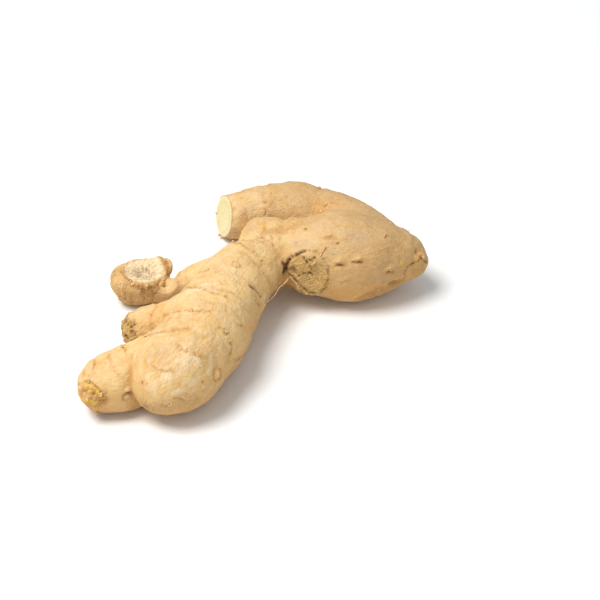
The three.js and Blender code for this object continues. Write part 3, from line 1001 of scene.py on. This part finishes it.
def tinted(base, mask, share, tone):
    """The base colour, drawn toward the tone by a share of the mask."""
    return mix_colour(tree, mask if share == 1 else times(tree, mask, share), base, tone)


along_finger = {"Position": plain_place, "Straightened": pulled_place, "Open": read(tree, "open_skin")}
coarse = group_node(tree, fibre_group, **along_finger, Per_Metre=520.0, Stretch=0.6)
fine = group_node(tree, fibre_group, **along_finger, Per_Metre=1600.0, Stretch=0.4)
crumbly = group_node(tree, fibre_group, Position=plain_place, Per_Metre=900.0)
freckles = group_node(tree, speck_group, Position=plain_place, Per_Metre=950.0, Cover=0.35).outputs["Specks"]
broad = noise(tree, plain_place, 42.0, 4.0)
dots = group_node(tree, speck_group, Position=plain_place, Per_Metre=620.0, Cover=0.6).outputs["Specks"]
threads, crumbs = fine.outputs["Fibres"], crumbly.outputs["Fibres"]

cork_tone = mix_colour(tree, ramp(tree, crumbs, 0.42, 0.62), CORK, CORK_DARK)
cork_tone = tinted(cork_tone, ramp(tree, crumbly.outputs["Blotches"], 0.4, 0.6), 0.6, BISCUIT)
straw_end = mix_colour(tree, ramp(tree, crumbs, 0.4, 0.65), STRAW_DRY, STRAW_GREY)
moist = mix_colour(tree, ramp(tree, broad, 0.4, 0.6), MOIST, MOIST_GREEN)
moist = tinted(moist, dots, 0.4, CHALK)
knife, ring_line = read(tree, "knife_cut"), read(tree, "ring_line")
not_inside = math_node(tree, "SUBTRACT", 1.0, ramp(tree, knife, 0.4, 0.8))
rind_line = times(tree, ramp(tree, knife, 0.02, 0.3), not_inside)

colour = mix_colour(tree, ramp(tree, broad, 0.38, 0.62), STRAW, BISCUIT)
for mask, share, tone in (
    (ramp(tree, coarse.outputs["Blotches"], 0.5, 0.7), 0.35, HONEY),
    (ramp(tree, coarse.outputs["Fibres"], 0.45, 0.7), 0.35, BISCUIT),
    (ramp(tree, threads, 0.5, 0.68), 0.36, HONEY),
    (times(tree, read(tree, "pale"), ramp(tree, fine.outputs["Blotches"], 0.3, 0.6)), 0.9, CHALK),
    # dull tan, partly painted shade
    (read(tree, "tan_and_shade"), 0.7, DULL_TAN_SHADE),
    # orange, partly painted shade
    (read(tree, "warm"), 0.6, ORANGE),
    (read(tree, "grey"), 0.7, GREY_TAN),
    (read(tree, "cork"), 0.9, cork_tone),
    (freckles, 0.6, BROWN),
    (ramp(tree, crumbs, 0.5, 0.75), 0.3, CHALK),
    (ring_line, 1, BROWN),
    (read(tree, "yellow"), 0.85, TURMERIC),
    # hollows drawn brown: painted shade
    (read(tree, "hollow_shade"), 0.5, BROWN),
    (read(tree, "shoot_cut"), 1, straw_end),
    (knife, 1, moist),
    (times(tree, knife, ring_line), 0.35, RIND),
    (rind_line, 1, RIND),
    (read(tree, "dark"), 1, SOIL),
):
    colour = tinted(colour, mask, share, tone)
tree.links.new(colour, shader.inputs["Base Color"])

uneven = {0: coarse.outputs["Blotches"], 1: 0.3, 2: 0.7, 3: 0.62, 4: 0.82}
rough = put(tree, "ShaderNodeMapRange", uneven).outputs[0]
rough = put(tree, "ShaderNodeMix", {0: knife, 2: rough, 3: 0.38}).outputs[0]
tree.links.new(rough, shader.inputs["Roughness"])
shader.inputs["Specular IOR Level"].default_value = 0.32

height = times(tree, threads, 0.5)
height = math_node(tree, "ADD", height, times(tree, coarse.outputs["Fibres"], 0.8))
grit = noise(tree, plain_place, 1500.0, 3.0)
grit_share = math_node(tree, "ADD", 0.35, times(tree, read(tree, "cork"), 1.6))
height = math_node(tree, "ADD", height, times(tree, grit, grit_share))
bump = put(tree, "ShaderNodeBump", {"Strength": 0.85, "Distance": 0.0008, "Height": height})
tree.links.new(bump.outputs[0], shader.inputs["Normal"])
skin_mesh.materials.clear()
skin_mesh.materials.append(skin_material)
print("skin material:", len(tree.nodes), "nodes")

# %% [markdown]
# ## Rootlets
#
# A few dry rootlets still hang from the skin, as thin as thread. Each is drawn out from a small circle:
# extrude its edge, move it to the next point, shrink it, and close the end. The ones in the photograph are
# placed by pixel, from the depth of the skin at one end to that at the other. Short broken ones are spread
# over the underside and the back.

# %% Rootlets
bpy.context.view_layer.update()
final_tree = BVHTree.FromObject(skin, bpy.context.evaluated_depsgraph_get())
HAIR_SIDES = 6


def draw_hair(bm, points, start_mm, end_mm):
    """A closed tapering hair through the points; the thicknesses are in millimetres."""
    ways = [(b - a).normalized() for a, b in zip(points, points[1:])]
    turn = ways[0].to_track_quat("Z", "Y").to_matrix().to_4x4()
    circle = bmesh.ops.create_circle(bm, cap_ends=True, segments=HAIR_SIDES, radius=start_mm / 2 * MM,
                                     matrix=Matrix.Translation(points[0]) @ turn)
    edges = list({e for v in circle["verts"] for e in v.link_edges})
    shrink = (end_mm / start_mm) ** (1 / (len(points) - 1))
    for number, point in enumerate(points[1:], 1):
        drawn = bmesh.ops.extrude_edge_only(bm, edges=edges)["geom"]
        verts = [g for g in drawn if isinstance(g, bmesh.types.BMVert)]
        edges = [g for g in drawn if isinstance(g, bmesh.types.BMEdge)]
        bmesh.ops.translate(bm, verts=verts, vec=point - points[number - 1])
        bmesh.ops.scale(bm, verts=verts, vec=(shrink,) * 3, space=Matrix.Translation(-point))
        if number < len(ways):
            bend = ways[number - 1].rotation_difference(ways[number]).to_matrix()
            bmesh.ops.rotate(bm, verts=verts, cent=point, matrix=bend)
    bmesh.ops.edgeloop_fill(bm, edges=edges)


def finish_piece(bm, name):
    """Turns a bmesh into a piece that rides with the rhizome."""
    bmesh.ops.recalc_face_normals(bm, faces=bm.faces)
    mesh = bpy.data.meshes.new(name)
    bm.to_mesh(mesh)
    bm.free()
    mesh.shade_smooth()
    piece = add_object(name, mesh)
    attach(piece, "root")
    print(name + ":", len(mesh.polygons), "faces")
    return piece


def seen_path(pixels, start_depth, end_depth, steps=5):
    """Points behind the pixels, from one distance from the camera to another, in a soft curve."""
    rows = []
    for number, (x, y) in enumerate(pixels):
        t = number / (len(pixels) - 1)
        depth = start_depth + (end_depth - start_depth) * t
        rows.append([*(EYE + ray(x, y) * depth) / MM, 1.0])
    return [Vector(row[:3]) * MM for row in smooth_path(rows, steps)]


SEEN_HAIRS = [  # pixels from root to tip, thickness at each end in millimetres
    ([(289, 278), (285, 283), (279, 288), (275, 295), (270, 300), (265, 303.5)], 0.75, 0.35),
    ([(290, 277), (294, 281), (298, 286), (301, 292)], 0.9, 0.5),
    ([(300, 289), (294, 288.5), (289, 289.5), (284, 292)], 0.5, 0.2),
    ([(312, 265), (317, 260), (321, 255), (325.5, 246.5)], 1.0, 0.6),
    ([(236, 362), (241, 358.5), (246, 354), (251, 348)], 0.4, 0.15),
    ([(384, 238), (385, 235), (386.5, 232.5)], 0.7, 0.5),
]
hairs = bmesh.new()
for pixels, start_mm, end_mm in SEEN_HAIRS:
    near, far = touch(*pixels[0])[0], touch(*pixels[-1])[0]
    depths = [(spot - EYE).length - 0.3 * MM for spot in (near, far)]
    if len(pixels) == 3:  # the short stub stands out toward the camera
        depths[1] -= 1.5 * MM
    draw_hair(hairs, seen_path(pixels, *depths), start_mm, end_mm)

draw = np.random.default_rng(5)
STUBS = 28
STUB_STEPS = 5
STUB_SUNK = 0.4 * MM  # how deep a stub starts in the skin
STUB_LOWEST = 0.4 * MM  # a stub that comes nearer to the floor than this is left out
inside = (np.abs(moved[:, :2]) < 60).all(1)  # so that no stub reaches far out of the solid's box
low = np.flatnonzero(unseen & (moved[:, 2] > 4) & (seam > 2) & inside)
for vertex in draw.choice(low, STUBS, replace=False):
    root, way = Vector(moved[vertex]) * MM, Vector(outward[vertex])
    drift = Vector(draw.normal(0, 0.55, 3))
    length = draw.uniform(1.2, 4.5) * MM
    points = [root - way * STUB_SUNK]
    for _ in range(STUB_STEPS):
        way = (way + drift * 0.35 + Vector((0, 0, -0.12))).normalized()
        points.append(points[-1] + way * (length / STUB_STEPS))
    if min(point.z for point in points) > STUB_LOWEST:
        draw_hair(hairs, points, draw.uniform(0.3, 0.55), 0.15)
rootlets = finish_piece(hairs, "rootlets")

# %% [markdown]
# ## Papery scraps
#
# Old leaf scales tear along the rings and leave small papery scraps, one edge still fixed and the other
# lifted. Each scrap is a small grid whose far rows are turned up. A Solidify modifier gives them all their
# thickness at once.

# %% Scraps
SCRAP_ROWS = 3
FIXED_EDGE = 0.02 * MM  # points nearer to the hinge than this stay down
SCRAP_GAP = 0.03 * MM  # how far a scrap's fixed edge is from the skin


def add_scrap(bm, spot, normal, way, length_mm, width_mm, lift):
    """A scrap fixed at a spot, running the given way over the skin and curling up by the lift, in radians."""
    way = (way - normal * way.dot(normal)).normalized()
    turn = Matrix((way, normal.cross(way), normal)).transposed().to_4x4()
    grid = bmesh.ops.create_grid(bm, x_segments=SCRAP_ROWS, y_segments=2, size=0.5 * MM,
                                 matrix=Matrix.Diagonal((length_mm, width_mm, 1, 1)))["verts"]
    bmesh.ops.translate(bm, verts=grid, vec=(length_mm / 2 * MM, 0, 0))
    raised = [v for v in grid if v.co.x > FIXED_EDGE]
    bend = Matrix.Rotation(-lift / SCRAP_ROWS, 3, "Y")
    for row in range(SCRAP_ROWS):
        hinge = row * length_mm / SCRAP_ROWS * MM
        bmesh.ops.rotate(bm, verts=raised, cent=(hinge, 0, 0), matrix=bend)
        raised = sorted(raised, key=lambda v: (v.co - Vector((0, v.co.y, 0))).length)[3:]
    for v in grid:
        v.co.y *= 1 - 0.5 * draw.random() * abs(v.co.x) / (length_mm * MM)
    bmesh.ops.transform(bm, verts=grid, matrix=Matrix.Translation(spot + normal * SCRAP_GAP) @ turn)


def nearest_point(spot):
    return int(((moved - np.array(spot) / MM) ** 2).sum(1).argmin())


SEEN_SCRAPS = [  # pixel, the way it points on the picture, length, width, lift
    ((218.5, 214), (-0.3, 0.6), 1.6, 1.6, 1.6), ((220, 235), (-0.5, -0.4), 1.3, 1.4, 1.2),
    ((162, 285), (0.4, 0.9), 2.6, 2.4, 0.9), ((311, 294.5), (0.3, -0.8), 1.6, 1.6, 0.5),
    ((316, 294), (0.5, -0.7), 1.4, 1.5, 0.6), ((306, 292.5), (-0.2, -0.8), 1.3, 1.2, 0.6),
    ((255, 298), (0.3, -0.7), 2.0, 1.6, 0.5), ((258, 303), (0.6, -0.4), 1.8, 1.6, 0.6),
    ((261, 299), (0.8, 0.1), 1.6, 1.4, 0.5), ((323, 206), (0.6, 0.5), 1.8, 1.4, 0.4),
    ((320, 210), (0.5, -0.5), 1.6, 1.3, 0.5), ((128.5, 391), (0.2, 0.8), 1.6, 1.8, 0.7),
    ((92, 385), (0.1, -0.9), 1.5, 2.0, 0.4), ((99, 393), (0.3, -0.8), 1.6, 1.8, 0.5),
    ((88, 397), (-0.2, -0.8), 1.4, 1.8, 0.5), ((402, 225.5), (0.4, 0.7), 1.3, 1.4, 0.7),
    ((224, 246), (-0.5, 0.6), 2.0, 2.4, 0.4), ((137, 338), (-0.2, -0.8), 1.8, 2.0, 0.5),
    ((142, 336), (0.1, -0.9), 2.0, 2.2, 0.4), ((147, 335.5), (0.3, -0.8), 1.6, 2.0, 0.5),
]
scraps = bmesh.new()
for (x, y), (across, climb), length_mm, width_mm, lift in SEEN_SCRAPS:
    spot, _, _, _ = final_tree.find_nearest(touch(x, y)[0])
    vertex = nearest_point(spot)
    add_scrap(scraps, spot, Vector(outward[vertex]), RIGHT * across + UP * climb, length_mm, width_mm, lift)
edge_points = np.flatnonzero((paint["ring_line"] > 0.45) & (bare + toe_bud < 0.05) & (moved[:, 2] > 1.5))
SCATTERED_SCRAPS = 150
for vertex in draw.choice(edge_points, SCATTERED_SCRAPS, replace=False):
    way = Vector(lengthways[vertex]) + Vector(draw.normal(0, 0.3, 3))
    add_scrap(scraps, Vector(moved[vertex]) * MM, Vector(outward[vertex]), way,
              draw.uniform(0.5, 1.3), draw.uniform(0.6, 1.6), draw.uniform(0.15, 0.6))
papery_scraps = finish_piece(scraps, "papery_scraps")
thicken = papery_scraps.modifiers.new("thickness", "SOLIDIFY")
thicken.thickness = 0.09 * MM
thicken.offset = 0

# %% [markdown]
# ## Rootlet and scrap materials
#
# Both are dead, dry plant tissue: rootlets are brown thread, scraps are thin straw-coloured bark. They share
# the fibre and speck groups with the skin, at their own scale.

# %% Their materials


def dry_material(name, light, dark, roughness):
    """Matt dry tissue that drifts between two colours, with fine specks."""
    made, tree, shader = new_material(name)
    spot = put(tree, "ShaderNodeTexCoord").outputs["Object"]
    fibres = group_node(tree, fibre_group, Position=spot, Per_Metre=900.0)
    specks = group_node(tree, speck_group, Position=spot, Per_Metre=1500.0, Cover=0.5).outputs["Specks"]
    tone = mix_colour(tree, ramp(tree, fibres.outputs["Fibres"], 0.35, 0.65), light, dark)
    tone = mix_colour(tree, times(tree, specks, 0.4), tone, BROWN)
    tree.links.new(tone, shader.inputs["Base Color"])
    uneven = {0: fibres.outputs["Blotches"], 3: roughness - 0.08, 4: roughness + 0.08}
    tree.links.new(put(tree, "ShaderNodeMapRange", uneven).outputs[0], shader.inputs["Roughness"])
    lumps = {"Strength": 0.6, "Distance": 0.0003, "Height": fibres.outputs["Fibres"]}
    tree.links.new(put(tree, "ShaderNodeBump", lumps).outputs[0], shader.inputs["Normal"])
    return made


for piece, name, light, dark, roughness in (
    (rootlets, "dry_rootlet", linear(226, 186, 126), linear(178, 128, 72), 0.8),
    (papery_scraps, "papery_scale", linear(228, 196, 142), linear(202, 152, 86), 0.78),
):
    piece.data.materials.append(dry_material(name, light, dark, roughness))
print("materials:", [m.name for m in bpy.data.materials])

# %% [markdown]
# ## Floor, light and view
#
# The studio is a plain pale floor under a bright even sky, with one large soft lamp high on the left.

# %% Studio
SCENE.view_settings.view_transform = "Standard"
bm = bmesh.new()
bmesh.ops.create_grid(bm, x_segments=1, y_segments=1, size=3.0)
floor_mesh = bpy.data.meshes.new("floor")
bm.to_mesh(floor_mesh)
bm.free()
floor = add_object("floor", floor_mesh)
floor_material, tree, shader = new_material("pale_floor")
shader.inputs["Base Color"].default_value = (0.94, 0.94, 0.94, 1)
shader.inputs["Roughness"].default_value = 0.9
floor_mesh.materials.append(floor_material)

world = bpy.data.worlds.new("sky")
world.use_nodes = True
SCENE.world = world
sky = world.node_tree.nodes["Background"].inputs
sky["Color"].default_value = (0.93, 0.97, 1.0, 1)
sky["Strength"].default_value = 0.52

lamp_data = bpy.data.lights.new("key_lamp", "AREA")
lamp_data.shape = "DISK"
lamp_data.size = 0.6
lamp_data.energy = 9.8
lamp_data.color = (1.0, 0.98, 0.95)
lamp = add_object("key_lamp", lamp_data)
lamp.location = (-0.4, -0.12, 0.9)
lamp.rotation_euler = (-lamp.location).to_track_quat("-Z", "Y").to_euler()  # aimed at the origin
